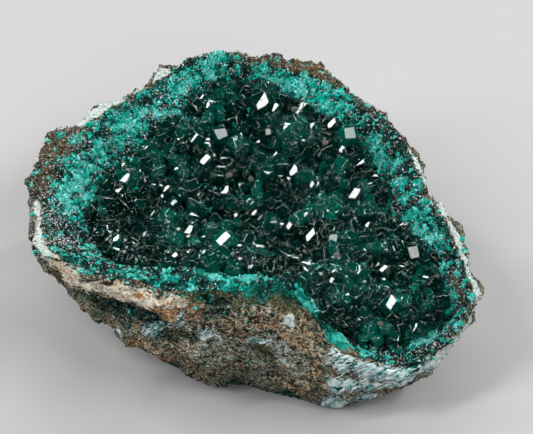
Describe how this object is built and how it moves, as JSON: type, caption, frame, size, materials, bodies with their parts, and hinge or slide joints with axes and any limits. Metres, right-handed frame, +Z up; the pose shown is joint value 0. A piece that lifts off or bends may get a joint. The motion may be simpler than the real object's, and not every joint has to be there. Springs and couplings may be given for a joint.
{
  "type": "dioptase mineral specimen",
  "caption": "Broken piece of copper-stained rock with an open hollow lined by a crust of dark green dioptase crystals, lying on its flat underside.",
  "frame": {"origin": "middle of the bounding box in plan, on the flat underside that the piece lies on", "axes": "+Z up, out of the hollow; +X to the right, along the length; +Y to the back, away from the low front wall"},
  "size_m": [0.0974, 0.0878, 0.0339],
  "materials": {
    "matrix_rock": "rough broken rock, tan to rust, with a turquoise rim",
    "dioptase": "glassy, deep green, see-through in thin edges"
  },
  "bodies": {
    "root": {"matrix_rock": "matrix_rock", "dioptase_crust": "dioptase"}
  },
  "joints": []
}
